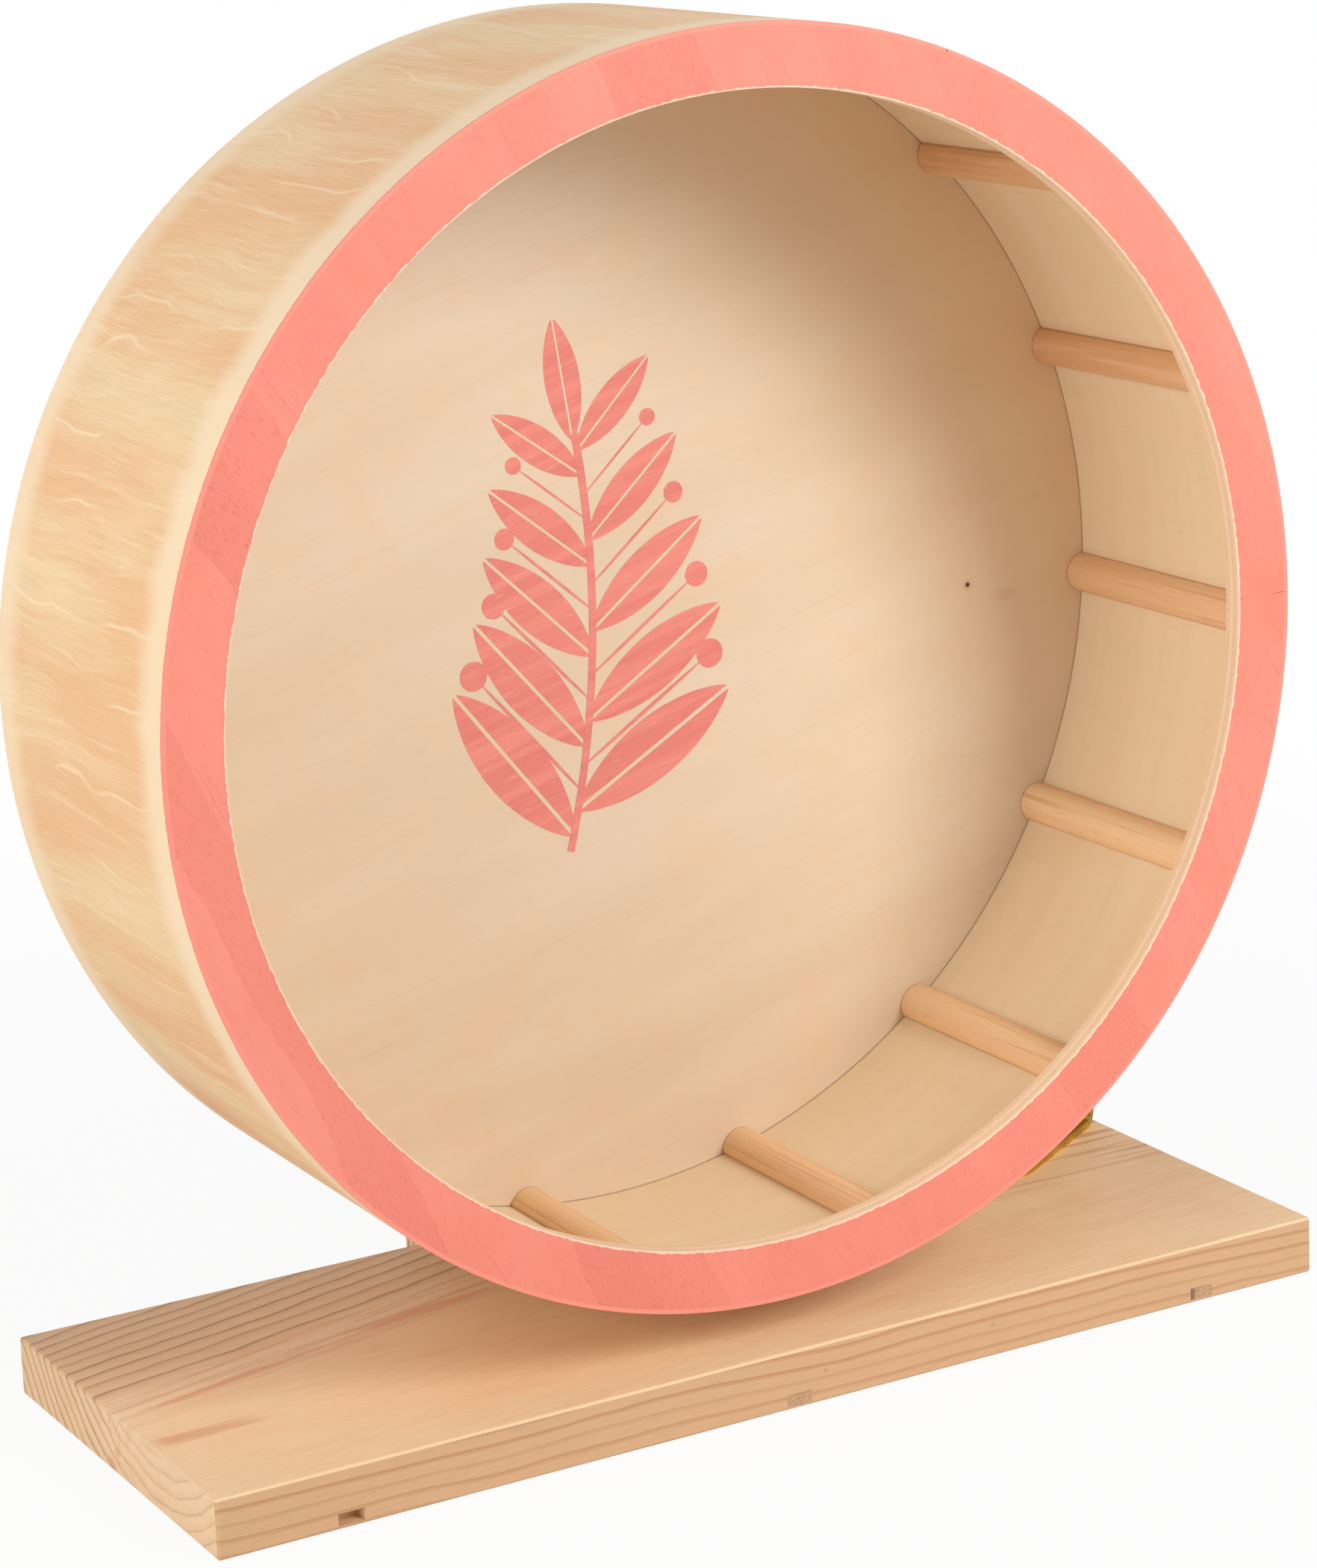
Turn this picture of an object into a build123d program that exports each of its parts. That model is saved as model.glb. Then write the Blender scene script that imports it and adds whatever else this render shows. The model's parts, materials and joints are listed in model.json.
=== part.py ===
from build123d import *
import os
from math import cos, radians, sin

# Rodent exercise wheel: a bent-veneer drum with a painted front ring and half-round rungs,
# turning on one ball bearing in front of a wooden stand.
# Millimetres. The origin is the centre of the base board's underside.
# +Z is up, -Y is the open front of the wheel, +X is to the right seen from the front.

# Drum of the wheel
wheel_diameter = 290.0
wheel_width = 91.0
band_thickness = 1.0
band_edge_round = 0.4
band_joint_gap = 0.3
ring_face_width = 13.5
ring_thickness = 5.0
ring_edge_round = 0.4
disc_thickness = 9.0
glue_gap = 0.05

# Rungs on the running surface
rung_count = 15
rung_width = 10.0
rung_height = 4.7
first_rung_angle = 44.8

# Base board, with three slots in the front face near its lower edge, of which two are plugged
base_length = 292.0
base_thickness = 14.0
board_edge_round = 0.6
edge_slot_width = 6.3
edge_slot_height = 2.8
edge_slot_depth = 4.0
edge_slot_rise = 0.8
edge_slot_middle = -0.8
edge_slot_spacing = 113.7
edge_plug_gap = 0.05

# Where the wheel stands over the base
wheel_clearance = 10.5
wheel_setback = 5.0

# Upright behind the wheel
upright_width = 72.0
upright_thickness = 18.0

# Ball bearing 8 x 22 x 7
bearing_bore = 8.0
bearing_diameter = 22.0
bearing_width = 7.0
ball_diameter = 3.97
ball_count = 7
ball_circle = 15.0
ball_clearance = 0.08
inner_race_diameter = 11.6
outer_race_bore = 18.4
cage_wall = 1.6
cage_width = 4.8
seal_thickness = 0.4
seal_inset = 0.3
seal_clearance = 0.3
fit_gap = 0.03

# Hub block on the back of the disc
hub_diameter = 70.0
hub_thickness = 13.0
hub_edge_round = 1.0
hub_screw_circle = 50.0
hub_screw_count = 4
hub_screw_length = 18.0
head_pocket_diameter = 20.0
head_pocket_in_disc = 2.0

# Axle bolt, its nut and washers
bolt_diameter = 7.9
bolt_length = 40.0
bolt_hole_diameter = 8.4
hex_across_flats = 13.0
bolt_head_height = 5.3
nut_height = 8.0
nut_collar_height = 1.8
race_ring_diameter = 11.2
head_ring_length = 1.0
rear_ring_length = 3.0
washer_diameter = 24.0
washer_thickness = 2.0
hex_chamfer = 0.8

# Wood screws
screw_diameter = 3.5
screw_head_diameter = 7.0
pan_head_height = 2.2
screw_tip_length = 4.0
screw_gap = 0.05
recess_width = 1.1
recess_span = 3.9
recess_depth = 1.5
upright_screw_length = 38.0
upright_screw_count = 3
upright_screw_spacing = 30.0
bracket_screw_length = 11.0

# Angle brackets
bracket_leg = 50.0
bracket_width = 20.0
bracket_thickness = 2.0
bracket_bend_radius = 2.5
bracket_hole_diameter = 4.2
bracket_near_hole = 15.0
bracket_far_hole = 38.0
bracket_spacing = 44.0
fixing_bracket_turn = 32.0
fixing_bracket_from_end = 2.0
fixing_bracket_from_back = 25.0

# Places that follow from the sizes above
wheel_radius = wheel_diameter / 2
running_radius = wheel_radius - band_thickness
disc_radius = running_radius - glue_gap
axle_height = base_thickness + wheel_clearance + wheel_radius
base_width = wheel_setback + wheel_width + hub_thickness + rear_ring_length
ring_front_y = -base_width / 2 + wheel_setback
ring_back_y = ring_front_y + ring_thickness
wheel_back_y = ring_front_y + wheel_width
disc_front_y = wheel_back_y - disc_thickness
hub_back_y = wheel_back_y + hub_thickness
bearing_front_y = hub_back_y - bearing_width
base_back_y = base_width / 2
upright_back_y = base_back_y + upright_thickness
rung_pitch = 360.0 / rung_count
rung_radius = rung_width / 2
rung_circle_radius = disc_radius - rung_height + rung_radius
from_bottom = (Align.CENTER, Align.CENTER, Align.MIN)

os.makedirs("parts", exist_ok=True)


def save(name, *solids):
    """Writes one sub-part, which may be a group of alike solids."""
    shape = solids[0] if len(solids) == 1 else Compound(list(solids))
    shape.label = name
    export_step(shape, f"parts/{name}.step")


def rod(radius, length):
    """A round bar that stands on the XY plane."""
    return Cylinder(radius, length, align=from_bottom)


def tube(outer_radius, inner_radius, length):
    return rod(outer_radius, length) - rod(inner_radius, length)


def on_axle(y):
    """The place on the axle at depth y, with local +Z pointing to the back."""
    return Pos(0, y, axle_height) * Rot(-90, 0, 0)


def at_angle(radius, angle):
    """A place in the on_axle frame, at an angle that turns up from +X seen from the front."""
    return Pos(radius * cos(radians(angle)), -radius * sin(radians(angle)), 0)


def hexagon(across_flats, height, hole_radius):
    """A hexagonal block with its upper corners turned off, and a round hole if asked for."""
    block = extrude(RegularPolygon(across_flats / 2, 6, major_radius=False), height)
    corner_radius = across_flats / 2 / cos(radians(30))
    turned = chamfer(rod(corner_radius, height).edges().sort_by(Axis.Z)[-1], hex_chamfer)
    block = block & turned
    return block - rod(hole_radius, height) if hole_radius else block


# Wood screws point down along -Z, with the head's seat at the origin.


def shank_profile(length, gap):
    """Half of a screw's shank and tip, grown by the gap where it is used as a hole."""
    radius = screw_diameter / 2 + gap
    tip = -length - gap
    return [(0, tip), (radius, tip + screw_tip_length), (radius, 0), (0, 0)]


def turned_profile(points):
    return revolve(Plane.XZ * make_face(Polyline(*points, close=True)), Axis.Z)


def cross_recess(top):
    """The cross-shaped drive recess, cut down from the top of a head."""
    low = (Align.CENTER, Align.CENTER, Align.MAX)
    slot = Box(recess_span, recess_width, recess_depth, align=low)
    return Pos(0, 0, top) * (slot + Rot(0, 0, 90) * slot)


def pan_screw(length):
    head = rod(screw_head_diameter / 2, pan_head_height)
    head = fillet(head.edges().sort_by(Axis.Z)[-1], pan_head_height * 0.6)
    return head + turned_profile(shank_profile(length, 0)) - cross_recess(pan_head_height)


def sunk_head(gap):
    """The cone of a countersunk head, whose top is flush with the wood at the origin."""
    head_radius = screw_head_diameter / 2 + gap
    depth = (screw_head_diameter - screw_diameter) / 2
    return turned_profile([(0, 0), (head_radius, 0), (screw_diameter / 2 + gap, -depth), (0, -depth)])


def sunk_screw(length):
    return sunk_head(0) + turned_profile(shank_profile(length, 0)) - cross_recess(0)


def sunk_screw_hole(length):
    return sunk_head(screw_gap) + turned_profile(shank_profile(length, screw_gap))


def pan_screw_hole(length):
    return turned_profile(shank_profile(length, screw_gap))


# Places of the screws

hub_screw_places = [
    on_axle(hub_back_y) * at_angle(hub_screw_circle / 2, 45 + 360 * turn / hub_screw_count)
    for turn in range(hub_screw_count)
]
upright_screw_places = [
    Pos((spot - (upright_screw_count - 1) / 2) * upright_screw_spacing, upright_back_y, base_thickness / 2)
    * Rot(-90, 0, 0)
    for spot in range(upright_screw_count)
]

open_slot_place, *plugged_slot_places = [
    Pos(edge_slot_middle + step * edge_slot_spacing, -base_width / 2, edge_slot_rise) for step in (-1, 0, 1)
]

# Brackets lie with one leg along -Y on the XY plane and the other up the plane y = 0.

bracket_places = {
    "upright_bracket_left": Pos(-bracket_spacing / 2, base_back_y, base_thickness),
    "upright_bracket_right": Pos(bracket_spacing / 2, base_back_y, base_thickness),
    "fixing_bracket": Pos(
        base_length / 2 - fixing_bracket_from_end, base_back_y - fixing_bracket_from_back, base_thickness
    )
    * Rot(0, 0, fixing_bracket_turn - 90)
    * Pos(-bracket_width / 2, 0, 0),
}
leg_on_base = Pos(0, 0, bracket_thickness)
leg_on_upright = Pos(0, -bracket_thickness, 0) * Rot(90, 0, 0)
near_and_far = [bracket_near_hole, bracket_far_hole]


def base_side_screws(name):
    return [bracket_places[name] * Pos(0, -reach, 0) * leg_on_base for reach in near_and_far]


def upright_side_screws(name):
    return [bracket_places[name] * Pos(0, 0, reach) * leg_on_upright for reach in near_and_far]


bracket_base_places = [place for name in bracket_places for place in base_side_screws(name)]
bracket_upright_places = [
    place for name in bracket_places if name != "fixing_bracket" for place in upright_side_screws(name)
]


def edge_plug(gap):
    """Small block let into the front face just over its lower edge, flush with the face."""
    width, height = edge_slot_width - 2 * gap, edge_slot_height - 2 * gap
    return Pos(0, 0, gap) * Box(width, edge_slot_depth - gap, height, align=(Align.CENTER, Align.MIN, Align.MIN))


def base_board():
    """Solid board, with the slots of its lower front edge and the holes of its screws."""
    board = Box(base_length, base_width, base_thickness, align=from_bottom)
    board = fillet(board.edges(), board_edge_round)
    for place in [open_slot_place, *plugged_slot_places]:
        board -= place * edge_plug(0)
    for place in upright_screw_places:
        board -= place * sunk_screw_hole(upright_screw_length)
    for place in bracket_base_places:
        board -= place * pan_screw_hole(bracket_screw_length)
    return board


def upright():
    """Board that rises behind the base from the floor, with a round top over the axle."""
    half = upright_width / 2
    outline = Pos(0, axle_height / 2) * Rectangle(upright_width, axle_height) + Pos(0, axle_height) * Circle(half)
    board = extrude(Plane((0, upright_back_y, 0), x_dir=(1, 0, 0), z_dir=(0, -1, 0)) * outline, upright_thickness)
    board = fillet(board.edges().filter_by(Axis.Y, reverse=True), board_edge_round)
    board -= on_axle(base_back_y) * rod(bolt_hole_diameter / 2, upright_thickness)
    for place in upright_screw_places:
        board -= place * sunk_screw_hole(upright_screw_length)
    for place in bracket_upright_places:
        board -= place * pan_screw_hole(bracket_screw_length)
    return board


def angle_bracket():
    """Bent steel strip with round leg ends and two holes in each leg."""
    inner = bracket_bend_radius
    outer = inner + bracket_thickness
    corner = Box(bracket_width, bracket_leg, bracket_leg, align=(Align.CENTER, Align.MAX, Align.MIN))
    hollow = Pos(0, -bracket_thickness, bracket_thickness) * corner
    strip = fillet(corner.edges().filter_by(Axis.X).group_by(Axis.Z)[0].sort_by(Axis.Y)[-1], outer)
    strip -= fillet(hollow.edges().filter_by(Axis.X).group_by(Axis.Z)[0].sort_by(Axis.Y)[-1], inner)
    end = bracket_width / 2
    flat = SlotOverall(bracket_leg + end, bracket_width, rotation=90)
    flat_leg = extrude(Pos(0, -(bracket_leg - end) / 2) * flat, bracket_leg)
    tall_leg = Pos(0, -bracket_leg, 0) * Rot(-90, 0, 0) * flat_leg
    strip = strip & flat_leg & tall_leg
    for reach in near_and_far:
        strip -= Pos(0, -reach, 0) * rod(bracket_hole_diameter / 2, bracket_thickness)
        strip -= Pos(0, 0, reach) * Rot(90, 0, 0) * rod(bracket_hole_diameter / 2, bracket_thickness)
    return strip


def running_band():
    """Veneer strip bent to a ring, butted with a hairline gap over the rung beside the first."""
    band = tube(wheel_radius, running_radius, wheel_width)
    rims = band.edges().filter_by(GeomType.CIRCLE).sort_by(SortBy.RADIUS)[-2:]
    band = fillet(rims, band_edge_round)
    joint = Box(4 * band_thickness, band_joint_gap, wheel_width, align=from_bottom)
    joint_angle = first_rung_angle + rung_pitch
    return on_axle(ring_front_y) * (band - at_angle(wheel_radius, joint_angle) * Rot(0, 0, -joint_angle) * joint)


def front_ring():
    ring = tube(disc_radius, running_radius - ring_face_width, ring_thickness)
    front_edges = ring.edges().filter_by(GeomType.CIRCLE).group_by(Axis.Z)[0]
    return on_axle(ring_front_y) * fillet(front_edges, ring_edge_round)


def back_disc():
    """Plywood disc, hollowed a little at the back for the bolt's head, with screw holes."""
    disc = on_axle(disc_front_y) * rod(disc_radius, disc_thickness)
    disc -= on_axle(wheel_back_y - head_pocket_in_disc) * rod(head_pocket_diameter / 2, head_pocket_in_disc)
    for place in hub_screw_places:
        disc -= place * sunk_screw_hole(hub_screw_length)
    return disc


def rung(angle):
    """Half-round rod glued to the running surface, between ring and disc."""
    length = disc_front_y - ring_back_y
    whole_rod = at_angle(rung_circle_radius, angle) * rod(rung_radius, length)
    return on_axle(ring_back_y) * (whole_rod & rod(disc_radius, length))


def hub_block():
    """Round block glued and screwed to the disc, bored for the bearing and the bolt's head."""
    block = rod(hub_diameter / 2, hub_thickness)
    block = fillet(block.edges().sort_by(Axis.Z)[-1], hub_edge_round)
    block -= rod(head_pocket_diameter / 2, hub_thickness)
    seat = rod(bearing_diameter / 2 + fit_gap, bearing_width)
    block -= Pos(0, 0, hub_thickness - bearing_width) * seat
    block = on_axle(wheel_back_y) * block
    for place in hub_screw_places:
        block -= place * sunk_screw_hole(hub_screw_length)
    return block


def ball_groove():
    return Pos(0, 0, bearing_width / 2) * Torus(ball_circle / 2, ball_diameter / 2 + ball_clearance)


def ball_places():
    return [Pos(0, 0, bearing_width / 2) * spot for spot in PolarLocations(ball_circle / 2, ball_count)]


def bearing_cage():
    """Ring between the races, with a round pocket through its wall for each ball."""
    middle = ball_circle / 2
    ring = tube(middle + cage_wall / 2, middle - cage_wall / 2, cage_width)
    cage = Pos(0, 0, (bearing_width - cage_width) / 2) * ring
    pocket = Rot(0, 90, 0) * Cylinder(ball_diameter / 2 + ball_clearance, 2 * cage_wall)
    for place in ball_places():
        cage -= place * pocket
    return cage


def bearing_seal():
    return tube(outer_race_bore / 2 - fit_gap, inner_race_diameter / 2 + seal_clearance, seal_thickness)


def axle_bolt():
    """Hexagon bolt, head in the hub's pocket, shank to the back through the upright."""
    head = hexagon(hex_across_flats, bolt_head_height, 0)
    shank = chamfer(rod(bolt_diameter / 2, bolt_length).edges().sort_by(Axis.Z)[-1], hex_chamfer)
    return Rot(180, 0, 0) * head + shank


def lock_nut():
    """Hexagon nut with a round collar that holds its locking ring."""
    hex_part = hexagon(hex_across_flats, nut_height - nut_collar_height, 0)
    collar = rod(hex_across_flats / 2 - hex_chamfer, nut_height)
    collar = fillet(collar.edges().sort_by(Axis.Z)[-1], nut_collar_height / 2)
    return hex_part + collar - rod(bolt_diameter / 2 + fit_gap, nut_height)


# Stand

save("base_board", base_board())
save("edge_plugs", *[place * edge_plug(edge_plug_gap) for place in plugged_slot_places])
save("upright", upright())
save("upright_screws", *[place * sunk_screw(upright_screw_length) for place in upright_screw_places])
for name, place in bracket_places.items():
    save(name, place * angle_bracket())
save("bracket_screws_base", *[place * pan_screw(bracket_screw_length) for place in bracket_base_places])
save("bracket_screws_upright", *[place * pan_screw(bracket_screw_length) for place in bracket_upright_places])

# Axle, clamped to the upright

race_ring_bore = bolt_diameter / 2 + fit_gap
head_seat_y = bearing_front_y - head_ring_length
washer_front_y = upright_back_y
nut_front_y = washer_front_y + washer_thickness
save("axle_bolt", on_axle(head_seat_y) * axle_bolt())
save("head_ring", on_axle(head_seat_y) * tube(race_ring_diameter / 2, race_ring_bore, head_ring_length))
save("rear_ring", on_axle(hub_back_y) * tube(race_ring_diameter / 2, race_ring_bore, rear_ring_length))
save("axle_washer", on_axle(washer_front_y) * tube(washer_diameter / 2, bolt_hole_diameter / 2, washer_thickness))
save("axle_nut", on_axle(nut_front_y) * lock_nut())

# Ball bearing

inner_race = tube(inner_race_diameter / 2, bearing_bore / 2, bearing_width) - ball_groove()
outer_race = tube(bearing_diameter / 2, outer_race_bore / 2, bearing_width) - ball_groove()
save("bearing_inner_race", on_axle(bearing_front_y) * inner_race)
save("bearing_outer_race", on_axle(bearing_front_y) * outer_race)
save("bearing_cage", on_axle(bearing_front_y) * bearing_cage())
save("bearing_balls", *[on_axle(bearing_front_y) * place * Sphere(ball_diameter / 2) for place in ball_places()])
save("bearing_seal_front", on_axle(bearing_front_y + seal_inset) * bearing_seal())
save("bearing_seal_rear", on_axle(hub_back_y - seal_inset - seal_thickness) * bearing_seal())

# Wheel

save("running_band", running_band())
save("front_ring", front_ring())
save("back_disc", back_disc())
for number in range(rung_count):
    save(f"rung_{number + 1:02d}", rung(first_rung_angle - number * rung_pitch))
save("hub_block", hub_block())
save("hub_screws", *[place * sunk_screw(hub_screw_length) for place in hub_screw_places])
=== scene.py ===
# %% [markdown]
# # A wooden running wheel for small rodents
# The wheel is a bent veneer drum with a painted plywood ring in front, a plywood disc
# behind and half-round rungs on the running surface. It turns on a ball bearing in
# front of a plywood upright, and the whole stands on one softwood board.
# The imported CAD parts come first. They give every place and size used below, and the
# pieces that already have the right shape only get a finish.

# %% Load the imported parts
import bmesh
import bpy
import json
from math import cos, pi, radians, sin
from mathutils import Matrix, Vector


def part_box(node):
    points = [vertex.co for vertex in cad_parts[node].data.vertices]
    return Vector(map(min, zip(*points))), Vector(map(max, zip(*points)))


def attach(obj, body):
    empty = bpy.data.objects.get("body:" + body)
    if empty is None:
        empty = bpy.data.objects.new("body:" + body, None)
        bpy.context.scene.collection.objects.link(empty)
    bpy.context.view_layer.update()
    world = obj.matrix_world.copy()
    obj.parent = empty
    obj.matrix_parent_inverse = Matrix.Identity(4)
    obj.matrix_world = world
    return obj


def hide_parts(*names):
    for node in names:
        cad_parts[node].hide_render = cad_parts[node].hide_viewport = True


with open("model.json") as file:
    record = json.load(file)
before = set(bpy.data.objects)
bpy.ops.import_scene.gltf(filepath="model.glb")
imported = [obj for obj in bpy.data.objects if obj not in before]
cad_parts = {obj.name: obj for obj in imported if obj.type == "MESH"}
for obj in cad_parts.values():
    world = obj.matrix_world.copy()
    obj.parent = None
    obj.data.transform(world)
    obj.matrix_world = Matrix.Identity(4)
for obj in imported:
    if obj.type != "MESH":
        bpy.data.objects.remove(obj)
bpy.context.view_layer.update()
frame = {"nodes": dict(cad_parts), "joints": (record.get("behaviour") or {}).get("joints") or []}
nodes = frame["nodes"]

# %% [markdown]
# The sizes that the looks need are read back from the parts, in metres. The axle runs
# along Y, so the middle of the band's box is the axle, and the edges of the board, the
# ring and the disc give the planes where one wood meets another.

# %% Read the places and sizes of the wheel
MM = 0.001
band_low, band_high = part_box("running_band")
ring_low, ring_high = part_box("front_ring")
disc_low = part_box("back_disc")[0]
board_low, board_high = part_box("base_board")
upright_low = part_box("upright")[0]
hub_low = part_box("hub_block")[0]
axle = next(Vector(joint["pos_m"]) for joint in frame["joints"] if joint["name"] == "wheel_spin")
wheel_radius = band_high.x
running_radius = ring_high.x
opening_radius = 130.5 * MM
ring_width = running_radius - opening_radius
rung_names = sorted(name for name in nodes if name.startswith("rung_"))
first_rung_angle, rung_pitch = 44.8, 360 / len(rung_names)
print("wheel radius", round(wheel_radius, 4), "axle height", round(axle.z, 4), "rungs", len(rung_names))

# %% [markdown]
# ## Camera
# The photograph was taken from the left front, a little above the wheel. The lens and
# the place were worked out from the outlines of the ring, the drum and the board. The
# heading, tilt and roll give the line of sight, and a shift of the lens the framing. The
# fit was made in wheel radii, from the middle of the ring's front.

# %% Set up the camera at the photograph's viewpoint
IMAGE_LONG_SIDE = 2100
IMAGE_MIDDLE = Vector((882, 1050))
focal_pixels = 5713.7205
principal_point = Vector((790.6652, 802.8438))
heading, tilt, roll = 0.49802, 0.20896, -0.044351
FIT_UNIT = 0.145
look_at = Vector((axle.x - 0.298113 * FIT_UNIT, ring_low.y, axle.z + 0.168818 * FIT_UNIT))
camera_distance = 6.335703 * FIT_UNIT
SENSOR_WIDTH = 36.0

view_direction = Vector((sin(heading) * cos(tilt), cos(heading) * cos(tilt), -sin(tilt)))
camera_data = bpy.data.cameras.new("camera")
camera_data.sensor_width = SENSOR_WIDTH
camera_data.lens = focal_pixels * SENSOR_WIDTH / IMAGE_LONG_SIDE
camera_data.shift_x = (IMAGE_MIDDLE.x - principal_point.x) / IMAGE_LONG_SIDE
camera_data.shift_y = (principal_point.y - IMAGE_MIDDLE.y) / IMAGE_LONG_SIDE
camera_data.clip_start, camera_data.clip_end = 0.01, 100
camera = bpy.data.objects.new("camera", camera_data)
bpy.context.scene.collection.objects.link(camera)
turn = view_direction.to_track_quat("-Z", "Y").to_matrix() @ Matrix.Rotation(roll, 3, "Z")
camera.matrix_world = Matrix.Translation(look_at - camera_distance * view_direction) @ turn.to_4x4()
bpy.context.scene.camera = camera
print("lens", round(camera_data.lens, 1), "mm, from", [round(v, 3) for v in camera.location])

# %% [markdown]
# ## Studio
# Large soft lamps and a plain pale room light the wheel. The lamp on the left keeps
# the drum's outside bright, and the nearer one on the right front lights the ring and
# leaves the right side of the disc in the shade of the drum, as in the photograph. A weak
# one behind keeps the back of the disc and the upright from going grey.
# The floor is white to the camera but still takes a part of the object's shadow.

# %% Place the lamps
bpy.context.scene.view_settings.view_transform = "Standard"


def add_lamp(name, azimuth, elevation, reach, size, power):
    """A square area lamp that looks at the wheel; azimuth 0 is in front, 90 to the right."""
    data = bpy.data.lights.new(name, "AREA")
    data.shape = "SQUARE"
    data.size = size
    data.energy = power
    a, e = radians(azimuth), radians(elevation)
    away = Vector((sin(a) * cos(e), -cos(a) * cos(e), sin(e)))
    lamp = bpy.data.objects.new(name, data)
    bpy.context.scene.collection.objects.link(lamp)
    turn = away.to_track_quat("Z", "Y").to_matrix().to_4x4()
    lamp.matrix_world = Matrix.Translation(axle + away * reach) @ turn
    print("lamp", name, "power", power)


add_lamp("lamp_left", -75, 14, 2.2, 1.2, 26)
add_lamp("lamp_right", 23, 25, 1.0, 0.4, 6.2)
add_lamp("lamp_behind", 178, 5, 2.2, 1.2, 9)

# %% [markdown]
# ## Words for materials and shapes
# Every finish is built from shader nodes and every repeated shape from geometry nodes.
# Both kinds of tree are wired the same way, so one small class wraps a socket and lets
# it stand in a sum, and one method makes any other node. Then a finish reads like the
# formula that it is: `grain * 0.3 + 0.7`.

# %% A socket that can be used in a formula


class Value:
    """One output socket of a node tree, with the operators that the formulas need."""

    def __init__(self, graph, socket):
        self.graph = graph
        self.socket = socket

    def math(self, operation, *others):
        inputs = dict(enumerate((self, *others)))
        return self.graph.node("ShaderNodeMath", {"operation": operation}, inputs)

    def flipped(self, operation, other):
        return self.graph.node("ShaderNodeMath", {"operation": operation}, {0: other, 1: self})

    def __add__(self, other):
        return self.math("ADD", other)

    def __sub__(self, other):
        return self.math("SUBTRACT", other)

    def __mul__(self, other):
        return self.math("MULTIPLY", other)

    def __truediv__(self, other):
        return self.math("DIVIDE", other)

    def __rsub__(self, other):
        return self.flipped("SUBTRACT", other)

    def __rtruediv__(self, other):
        return self.flipped("DIVIDE", other)

    def __pow__(self, other):
        return self.math("POWER", other)

    __radd__ = __add__
    __rmul__ = __mul__

    def ramp(self, start, end, low=0.0, high=1.0):
        """Goes smoothly from low to high while this value goes from start to end."""
        settings = {"interpolation_type": "SMOOTHSTEP"}
        limits = {"From Min": start, "From Max": end, "To Min": low, "To Max": high}
        return self.graph.node("ShaderNodeMapRange", settings, {"Value": self, **limits})


class Graph:
    """A node tree under construction."""

    def __init__(self, tree):
        self.tree = tree

    def node(self, kind, settings=None, inputs=None, output=0):
        """Makes a node: its settings first, then its sockets' values or links."""
        made = self.tree.nodes.new(kind)
        for name, value in (settings or {}).items():
            setattr(made, name, value)
        for name, value in (inputs or {}).items():
            self.feed(made.inputs[name], value)
        return Value(self, made.outputs[output]) if len(made.outputs) else made

    def feed(self, socket, value):
        if isinstance(value, Value):
            self.tree.links.new(value.socket, socket)
        else:
            socket.default_value = value

    def vector(self, x, y, z):
        return self.node("ShaderNodeCombineXYZ", inputs={0: x, 1: y, 2: z})

    def parts(self, vector):
        """The three parts of a vector, each as a value."""
        split = self.node("ShaderNodeSeparateXYZ", inputs={0: vector})
        return [Value(self, part) for part in split.socket.node.outputs]


print("formula words ready")

# %% [markdown]
# A finish also needs places and colours. Places come from Object coordinates, which are
# the same as the parts' own frame here, so a grain runs through a board as it does in
# real wood. Colours are written as they look on a screen, from 0 to 255, and turned into
# the linear values that the renderer works with.

# %% A finish: places, noise, colours and one shader


def shown(red, green, blue):
    """A colour as a screen shows it, made linear."""
    parts = [part / 255 for part in (red, green, blue)]
    linear = [part / 12.92 if part <= 0.04045 else ((part + 0.055) / 1.055) ** 2.4 for part in parts]
    return (*linear, 1.0)


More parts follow.
